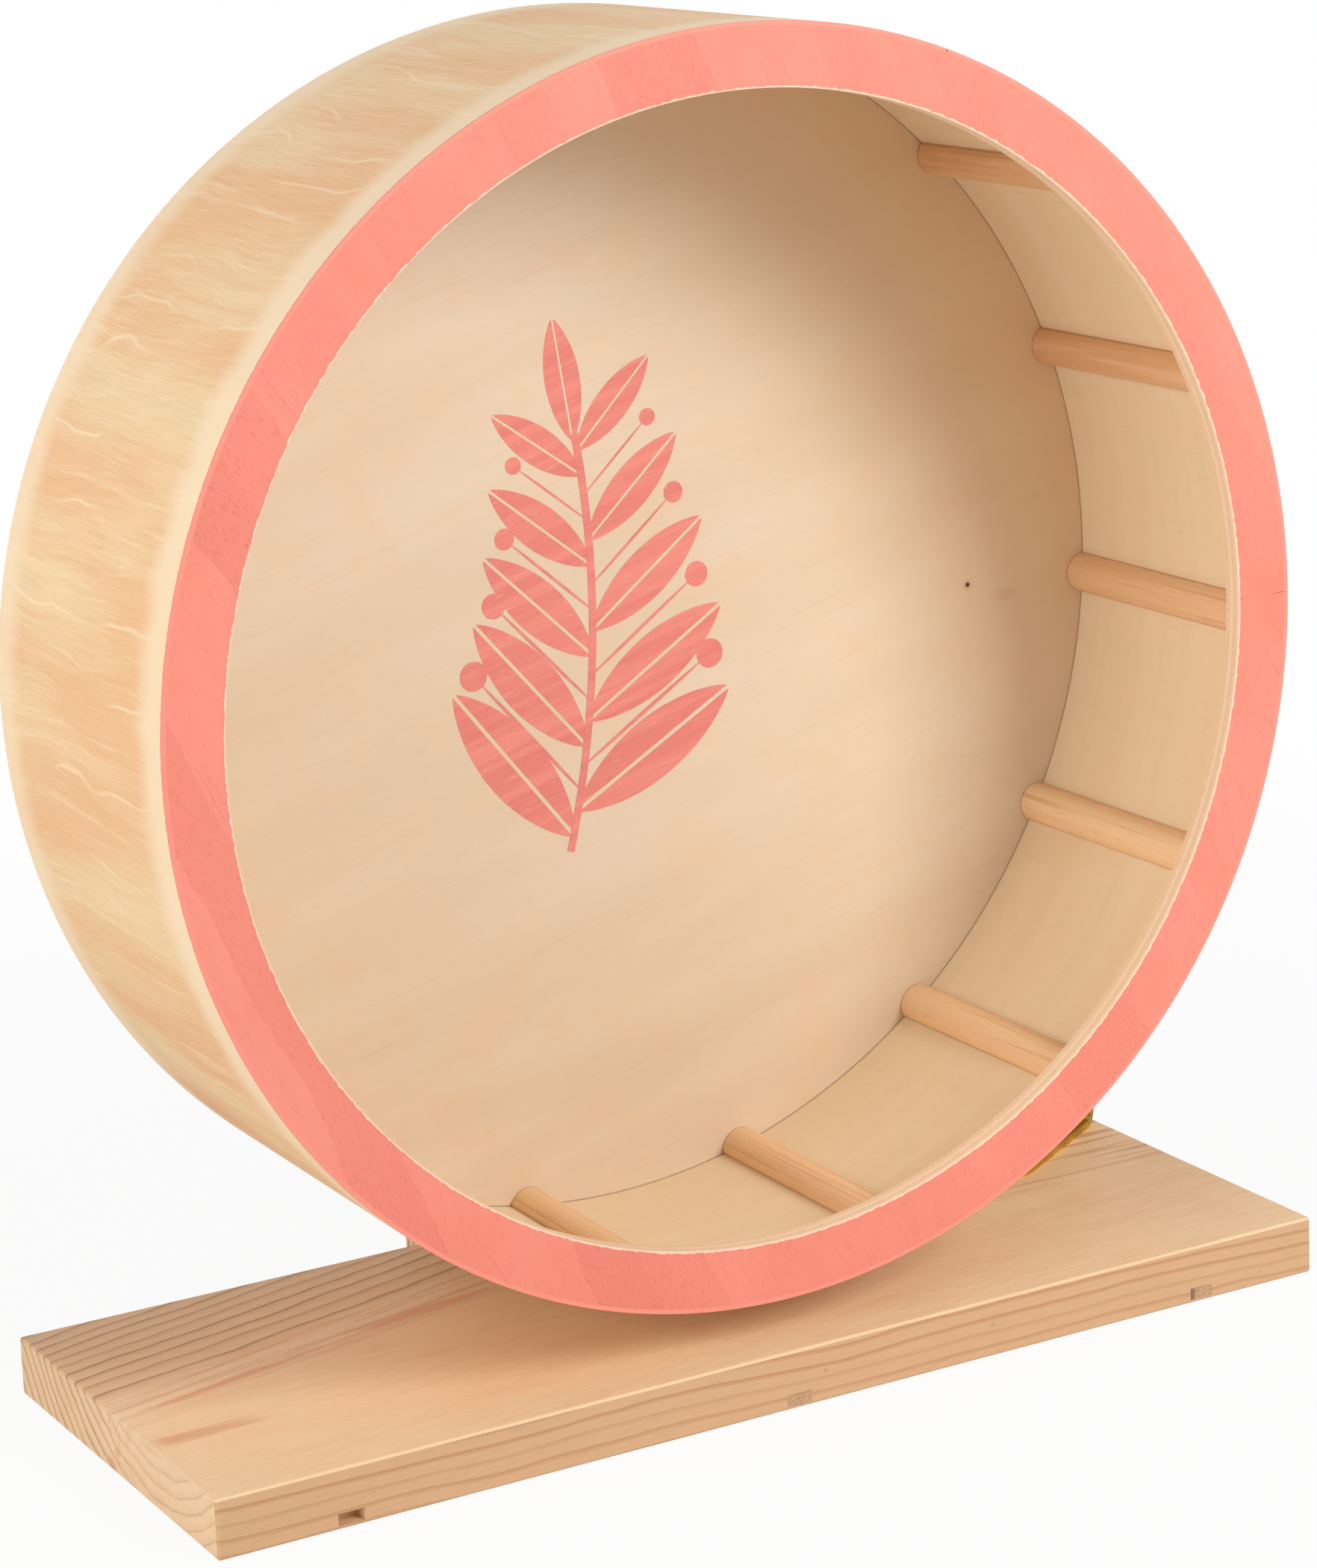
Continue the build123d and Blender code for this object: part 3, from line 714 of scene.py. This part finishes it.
def plated(name, tones, low, high, ground_rings=0.0):
    """A metal: clouds of a bright and a dull tone, small stains, fine scratches."""
    metal = Finish(name)
    bright, dull, stain = tones
    clouds = metal.cloud(0.28, 3.0, 0.6, 0.4)
    grains = metal.cloud(1.9, 2.0)
    scratches = metal.noise(metal.scaled(metal.place, (0.35, 5.0, 0.9)), 1.0, 2.0)
    colour = metal.layers(
        shown(*bright),
        (clouds.ramp(0.36, 0.64), dull),
        (grains.ramp(0.6, 0.75, 0, 0.35), stain),
        (scratches.ramp(0.62, 0.74, 0, 0.3), bright),
    )
    relief = grains * 0.006 + scratches * 0.008
    if ground_rings:
        rings = (from_axle(metal) * ground_rings).math("SINE") * 0.5 + 0.5
        relief = relief + rings * 0.003
    roughness = clouds.ramp(0.3, 0.7, low, high)
    return metal.close(colour, roughness, relief, 1.0, metallic=1.0)


zinc_tones = (212, 213, 216), (178, 180, 185), (150, 152, 156)
yellow_tones = (224, 190, 92), (206, 164, 70), (150, 128, 70)
axle_tones = (196, 197, 200), (160, 162, 167), (120, 121, 124)
race_tones = (190, 191, 194), (168, 170, 174), (140, 141, 144)
seal_tones = (206, 206, 206), (176, 176, 178), (140, 140, 142)
zinc = plated("zinc_plate", zinc_tones, 0.3, 0.46)
yellow_screw_metal = plated("yellow_plated_screws", yellow_tones, 0.28, 0.42)
axle_steel = plated("axle_steel", axle_tones, 0.26, 0.4)
race_steel = plated("ground_bearing_steel", race_tones, 0.14, 0.24, 18.0)
seal_metal = plated("pressed_seal_steel", seal_tones, 0.34, 0.5, 6.0)

# %% [markdown]
# The angle brackets are bent from one strip. On a real one the yellow film is even on the
# flat legs and worn to bright metal on its edges. Round the bend, close to the board, the
# film here gets painted shade, darker and browner.
# The bend lies where the strip leaves its base leg, so the height above the board tells
# how near a point is to it.

# %% Yellow zinc of the brackets
bracket = Finish("yellow_zinc_plate")
clouds = bracket.cloud(0.12, 4.0, 0.6, 0.6)
grains = bracket.cloud(1.4, 3.0, 0.6)
# Painted shade: darker and browner round the bend, close to the board.
near_bend = (bracket.z - BOARD_TOP - 2.5).math("ABSOLUTE") + grains * 1.5
colour = bracket.layers(
    shown(236, 200, 78),
    (clouds.ramp(0.38, 0.6), (222, 178, 58)),
    (clouds.ramp(0.56, 0.68, 0, 0.4), (198, 172, 96)),
    (near_bend.ramp(4.2, 0.8, 0, 0.55), (142, 116, 46)),
    (grains.ramp(0.6, 0.72, 0, 0.35), (246, 224, 140)),
)
roughness = clouds.ramp(0.3, 0.7, 0.3, 0.44)
bracket_metal = bracket.close(colour, roughness, grains * 0.012, 1.0, metallic=1.0)

# %% [markdown]
# The cage that keeps the balls apart is moulded nylon: cream, slightly glossy, with a
# faint flow pattern from the mould.

# %% Nylon of the bearing cage
nylon = Finish("cage_nylon")
flow = nylon.noise(nylon.scaled(nylon.place, (0.5, 1.6, 0.5)), 1.0, 3.0, 0.5, 0.8)
speckle = nylon.cloud(5, 1.0)
colour = nylon.mix(flow.ramp(0.35, 0.65), shown(226, 214, 188), shown(208, 194, 164))
roughness = flow.ramp(0.3, 0.7, 0.34, 0.46)
nylon_cage = nylon.close(colour, roughness, speckle * 0.01, 1.0, Specular_IOR_Level=0.45)

# %% [markdown]
# ## Shapes that follow a rule
# A hoop, a set of rods round a circle and a printed sprig each follow a simple rule, so
# geometry nodes make them. The class below holds such a tree: its named sizes come in
# on the left, and `make` runs the tree once, keeps the plain mesh and drops the
# modifier, so that nothing is left to be worked out later.

# %% A tree of shapes with named sizes
KINDS = {float: "NodeSocketFloat", int: "NodeSocketInt", bool: "NodeSocketBool"}


class Shape(Graph):
    """A geometry node tree; its sizes are given as name=value."""

    def __init__(self, name, **sizes):
        super().__init__(bpy.data.node_groups.new(name, "GeometryNodeTree"))
        self.values = sizes
        self.tree.interface.new_socket("Geometry", in_out="OUTPUT", socket_type="NodeSocketGeometry")
        for size, value in sizes.items():
            self.tree.interface.new_socket(size, in_out="INPUT", socket_type=KINDS[type(value)])
        group = self.tree.nodes.new("NodeGroupInput")
        self.size = {size: Value(self, group.outputs[size]) for size in sizes}

    def moved(self, geometry, place):
        return self.node("GeometryNodeSetPosition", inputs={"Geometry": geometry, "Position": place})

    def creased(self, mesh, angle):
        """Smooth shading, except over edges that are sharper than the angle."""
        edge = self.node("GeometryNodeInputMeshEdgeAngle")
        smooth = edge.math("LESS_THAN", angle)
        shading = {0: mesh, "Shade Smooth": smooth}
        return self.node("GeometryNodeSetShadeSmooth", {"domain": "EDGE"}, shading)

    def end(self, geometry, material):
        realized = self.node("GeometryNodeRealizeInstances", inputs={0: geometry})
        finish = {"Geometry": realized, "Material": material}
        dressed = self.node("GeometryNodeSetMaterial", inputs=finish)
        self.node("NodeGroupOutput", inputs={"Geometry": dressed})

    def make(self, name):
        """Runs the tree and returns a piece with a plain closed mesh."""
        piece = bpy.data.objects.new(name, bpy.data.meshes.new(name + "_seed"))
        bpy.context.scene.collection.objects.link(piece)
        modifier = piece.modifiers.new("shape", "NODES")
        modifier.node_group = self.tree
        for item in self.tree.interface.items_tree:
            if item.item_type == "SOCKET" and item.in_out == "INPUT":
                modifier[item.identifier] = self.values[item.name]
        evaluated = piece.evaluated_get(bpy.context.evaluated_depsgraph_get())
        mesh = bpy.data.meshes.new_from_object(evaluated)
        piece.modifiers.remove(modifier)
        shell = bmesh.new()
        shell.from_mesh(mesh)
        bmesh.ops.recalc_face_normals(shell, faces=shell.faces)
        shell.to_mesh(mesh)
        open_edges = sum(not edge.is_manifold for edge in shell.edges)
        volume = round(shell.calc_volume() * 1e9, 1)
        print(name, len(mesh.polygons), "faces,", volume, "cubic mm,", open_edges, "open edges")
        shell.free()
        mesh.name = name
        piece.data = mesh
        return piece


# %% [markdown]
# A hoop is a section swept along an arc. The section is a circle whose two measures are
# raised to a small power, which squares it: it becomes a long flat strip whose edges
# are a little rounded, as if they had been sanded. The running band uses it with a
# narrow gap where the two ends of the veneer meet, and the ring uses it as a full circle.

# %% The hoop, for the band and the ring


def hoop_tree(material, **sizes):
    hoop = Shape("hoop", **sizes)
    size = hoop.size
    arc_sizes = {"Resolution": size["steps"], "Radius": size["middle_radius"]}
    arc_sizes.update({"Start Angle": size["start"], "Sweep Angle": size["sweep"]})
    arc = hoop.node("GeometryNodeCurveArc", {"mode": "RADIUS"}, arc_sizes)
    circle_sizes = {"Resolution": size["section_points"], "Radius": 1.0}
    circle = hoop.node("GeometryNodeCurvePrimitiveCircle", {"mode": "RADIUS"}, circle_sizes)
    x, y, z = hoop.parts(hoop.node("GeometryNodeInputPosition"))

    def squared(value):
        return value.math("SIGN") * value.math("ABSOLUTE") ** size["squareness"]

    corner = hoop.vector(squared(x) * size["thickness"] / 2, squared(y) * size["width"] / 2, 0)
    section = hoop.moved(circle, corner)
    sweep = {"Curve": arc, "Profile Curve": section, "Fill Caps": size["capped"]}
    swept = hoop.node("GeometryNodeCurveToMesh", inputs=sweep)
    merged = hoop.node("GeometryNodeMergeByDistance", inputs={"Geometry": swept, "Distance": 1e-7})
    shift = hoop.vector(0, size["middle_y"], size["axle_height"])
    upright = {"Geometry": merged, "Translation": shift, "Rotation": (pi / 2, 0, 0)}
    placed = hoop.node("GeometryNodeTransform", inputs=upright)
    hoop.end(hoop.creased(placed, radians(50)), material)
    return hoop


joint_gap = 0.3 * MM
gap_angle = joint_gap / wheel_radius
band_shape = hoop_tree(
    veneer.material,
    middle_radius=(wheel_radius + running_radius) / 2,
    thickness=wheel_radius - running_radius,
    width=band_high.y - band_low.y,
    middle_y=(band_high.y + band_low.y) / 2,
    axle_height=axle.z,
    start=radians(BAND_JOINT) + gap_angle / 2,
    sweep=2 * pi - gap_angle,
    squareness=0.02,
    steps=420,
    section_points=72,
    capped=True,
)
print("band joint", BAND_JOINT, "degrees, gap", joint_gap / MM, "mm")

# %% Make the running band
running_band = band_shape.make("veneer_running_band")

# %% [markdown]
# The painted ring sits just inside the band, pressed a little into the veneer, so that
# no groove shows between the two. Its corners are only lightly sanded.

# %% Make the front ring
pressed_in = 0.4 * MM
front_ring = hoop_tree(
    coral.material,
    middle_radius=running_radius + pressed_in / 2 - ring_width / 2,
    thickness=ring_width + pressed_in,
    width=ring_high.y - ring_low.y,
    middle_y=(ring_high.y + ring_low.y) / 2,
    axle_height=axle.z,
    start=0.0,
    sweep=2 * pi,
    squareness=0.06,
    steps=361,
    section_points=64,
    capped=False,
).make("painted_front_ring")

# %% [markdown]
# The fifteen rungs are one rod, repeated round the axle. The rod's section is a circle
# that is cut off by the band's inner surface, so that its flat side has exactly the
# curve of the band. The tree stores the place on the rod before it is turned, and each
# copy gets its own number, because the finish above asks for both.

# %% Make the rungs
rod_sizes = dict(rod_radius=5.0 * MM, rod_height=4.7 * MM, seat_radius=running_radius - 0.05 * MM)
rod_sizes.update(front_y=ring_high.y, back_y=disc_low.y, axle_height=axle.z)
rods = Shape("rods", count=len(rung_names), first_angle=radians(first_rung_angle), **rod_sizes)
size = rods.size
start, stop = rods.vector(0, size["front_y"], 0), rods.vector(0, size["back_y"], 0)
line = rods.node("GeometryNodeCurvePrimitiveLine", inputs={"Start": start, "End": stop})
circle_sizes = {"Resolution": 64, "Radius": 1.0}
circle = rods.node("GeometryNodeCurvePrimitiveCircle", {"mode": "RADIUS"}, circle_sizes)
x, y, z = rods.parts(rods.node("GeometryNodeInputPosition"))
across = x * size["rod_radius"]
seat = (size["seat_radius"] ** 2 - across**2) ** 0.5
crown = size["seat_radius"] - size["rod_height"] + size["rod_radius"] - y * size["rod_radius"]
section = rods.moved(circle, rods.vector(seat.math("MINIMUM", crown), across, 0))
sweep = {"Curve": line, "Profile Curve": section, "Fill Caps": True}
rod_mesh = rods.node("GeometryNodeCurveToMesh", inputs=sweep)
rod_settings = {"data_type": "FLOAT_VECTOR", "domain": "POINT"}
own_place = rods.vector(x - size["seat_radius"], y, z)
place_note = {"Geometry": rod_mesh, "Name": "rod_place", "Value": own_place}
rod_mesh = rods.node("GeometryNodeStoreNamedAttribute", rod_settings, place_note)
index = rods.node("GeometryNodeInputIndex")
pitch = 2 * pi / size["count"]
centre = rods.vector(0, 0, size["axle_height"])
points = rods.node("GeometryNodePoints", inputs={"Count": size["count"], "Position": centre})
turn_about_axle = rods.vector(0, index * pitch - size["first_angle"], 0)
spread = {"Points": points, "Instance": rod_mesh, "Rotation": turn_about_axle}
copies = rods.node("GeometryNodeInstanceOnPoints", inputs=spread)
number_settings = {"data_type": "FLOAT", "domain": "INSTANCE"}
number_note = {"Geometry": copies, "Name": "rod_number", "Value": index + 1}
copies = rods.node("GeometryNodeStoreNamedAttribute", number_settings, number_note)
rods.end(rods.creased(copies, radians(40)), rod.material)
rungs = rods.make("half_round_rungs")

# %% [markdown]
# The disc carries a print in the ring's colour. Here it is a plain leafy sprig with round
# berries. A print could be drawn in the finish, but thin raised shapes keep crisp edges
# from near by: a leaf is half a disc with its round side squeezed to a point, laid
# twice with a bare vein between, and the copies follow a bent stem and get smaller.

# %% Coral ink of the print
ink = Finish("coral_print")
along, across = turned(ink, 16)
fine = streaks(ink, along, across, 31, 0.8, 34, 4.0)
middle = streaks(ink, along, across, 31, 3.2, 110, 3.0)
thin = streaks(ink, along, across, 31, 0.34, 5.5, 1.0).ramp(0.6, 0.76)
colour = ink.layers(
    shown(226, 128, 117),
    (middle.ramp(0.35, 0.65), (236, 142, 128)),
    (fine.ramp(0.5, 0.7, 0, 0.4), (214, 112, 98)),
    (thin * 0.45, (240, 178, 156)),
)
ink.close(colour, fine.ramp(0.3, 0.7, 0.5, 0.6), fine * 0.012, 1.0, Specular_IOR_Level=0.35)

# %% Make the printed sprig
sprig_sizes = dict(stem_height=101 * MM, stem_width=2.0 * MM)
sprig_sizes.update(leaf_length=49 * MM, leaf_half_width=7.3 * MM)
sprig_sizes.update(vein=0.5 * MM, berry_radius=3.6 * MM, ink_height=0.12 * MM, leaf_spread=radians(50))
sprig = Shape("sprig", leaves=5, print_y=disc_low.y, foot_z=axle.z - 56 * MM, **sprig_sizes)
size = sprig.size
x, y, z = sprig.parts(sprig.node("GeometryNodeInputPosition"))
bezier = {"Resolution": 48, "Start": sprig.vector(-7 * MM, 0, 0)}
bezier["Middle"] = sprig.vector(7 * MM, size["stem_height"] * 0.5, 0)
bezier["End"] = sprig.vector(-1 * MM, size["stem_height"], 0)
stem = sprig.node("GeometryNodeCurveQuadraticBezier", inputs=bezier)
strip_sizes = {"Width": size["stem_width"], "Height": size["ink_height"] * 1.6}
strip = sprig.node("GeometryNodeCurvePrimitiveQuadrilateral", inputs=strip_sizes)
sweep = {"Curve": stem, "Profile Curve": strip, "Fill Caps": True}
stem_mesh = sprig.node("GeometryNodeCurveToMesh", inputs=sweep)
puck_sizes = {"Vertices": 64, "Radius": 1.0, "Depth": 1.0}
puck = sprig.node("GeometryNodeMeshCylinder", {"fill_type": "NGON"}, puck_sizes)
belly = y.math("MAXIMUM", 0.0) ** 1.7 * size["leaf_half_width"] + size["vein"]
leaf_outline = sprig.vector((x + 1) * 0.5 * size["leaf_length"], belly, z * size["ink_height"])
half_leaf = sprig.moved(puck, leaf_outline)
flip = {"Geometry": half_leaf, "Rotation": (pi, 0, 0)}
other_half = sprig.node("GeometryNodeTransform", inputs=flip)
leaf = sprig.node("GeometryNodeJoinGeometry", inputs={0: half_leaf})
sprig.feed(leaf.socket.node.inputs[0], other_half)
berry_x = x * size["berry_radius"] + size["leaf_length"] * 0.86
berry = sprig.moved(puck, sprig.vector(berry_x, y * size["berry_radius"], z * size["ink_height"] * 1.4))
stalk_x = (x + 1) * 0.5 * size["leaf_length"] * 0.8
stalk = sprig.moved(puck, sprig.vector(stalk_x, y * 0.5 * MM, z * size["ink_height"] * 1.2))
berry_on_stalk = sprig.node("GeometryNodeJoinGeometry", inputs={0: berry})
sprig.feed(berry_on_stalk.socket.node.inputs[0], stalk)
tx, ty = sprig.parts(sprig.node("GeometryNodeInputTangent"))[:2]
heading_of_stem = ty.math("ARCTAN2", tx)
factor = sprig.node("GeometryNodeSplineParameter")
join = sprig.node("GeometryNodeJoinGeometry", inputs={0: stem_mesh})
rows = [
    (leaf, 1, 0.04, 0.9, 0),
    (leaf, -1, 0.1, 0.96, 0),
    (berry_on_stalk, 1, 0.1475, 0.7925, -1),
    (berry_on_stalk, -1, 0.2075, 0.8525, -1),
]
for element, side, first, last, fewer in rows:
    span = {"Curve": stem, "Start": first, "End": last}
    reach = sprig.node("GeometryNodeTrimCurve", {"mode": "FACTOR"}, span)
    steps = {"Curve": reach, "Count": size["leaves"] + fewer}
    stations = sprig.node("GeometryNodeResampleCurve", {"mode": "COUNT"}, steps)
    lean = sprig.vector(0, 0, heading_of_stem + size["leaf_spread"] * side)
    shrink = 1.0 - factor * 0.42
    placed = {"Points": stations, "Instance": element, "Rotation": lean}
    placed["Scale"] = sprig.vector(shrink, shrink, 1)
    copies = sprig.node("GeometryNodeInstanceOnPoints", inputs=placed)
    sprig.feed(join.socket.node.inputs[0], copies)
tip_place = sprig.vector(-1.5 * MM, size["stem_height"] * 0.985, 0)
tip_leaf = {"Geometry": leaf, "Translation": tip_place}
tip_leaf.update({"Rotation": (0, 0, radians(98)), "Scale": (0.6, 0.6, 1)})
tip = sprig.node("GeometryNodeTransform", inputs=tip_leaf)
sprig.feed(join.socket.node.inputs[0], tip)
to_disc = sprig.vector(0, size["print_y"], size["foot_z"])
stand_up = {"Geometry": join, "Translation": to_disc, "Rotation": (pi / 2, 0, 0)}
upright_print = sprig.node("GeometryNodeTransform", inputs=stand_up)
sprig.end(sprig.creased(upright_print, radians(40)), ink.material)
printed_sprig = sprig.make("printed_sprig")

# %% [markdown]
# ## Dress the parts
# The new pieces ride on the turning wheel and stand for the parts whose shape they
# repeat. Every other part keeps its own mesh and only gets its finish.

# %% New pieces ride on the wheel
new_pieces = [
    (running_band, "bent_veneer"),
    (front_ring, "ring_paint"),
    (rungs, "dowel_wood"),
    (printed_sprig, "ring_paint"),
]
for piece, slot in new_pieces:
    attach(piece, "wheel")
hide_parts("running_band")
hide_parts("front_ring")
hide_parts(*rung_names)

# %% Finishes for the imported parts
finishes = {
    "pine": pine.material,
    "plug_wood": plug.material,
    "upright_ply": upright_wood,
    "zinc_screws": zinc,
    "yellow_zinc": bracket_metal,
    "yellow_screws": yellow_screw_metal,
    "zinc_steel": axle_steel,
    "bearing_steel": race_steel,
    "seal_steel": seal_metal,
    "cage_plastic": nylon_cage,
    "bent_veneer": veneer.material,
    "ring_paint": coral.material,
    "birch_ply": birch.material,
    "hub_wood": hub_wood,
    "dowel_wood": rod.material,
}
dressed = 0
for name, part in nodes.items():
    for place in part.material_slots:
        slot_name = place.material.name.split(".")[0]
        if slot_name in finishes:
            place.material = finishes[slot_name]
            dressed += 1
        else:
            print("no finish for", name, slot_name)
print("dressed", dressed, "of", len(nodes))

# %% [markdown]
# ## Bring the scene up to date
# The last line brings the whole scene up to date.

# %% Bring the scene up to date
bpy.context.view_layer.update()
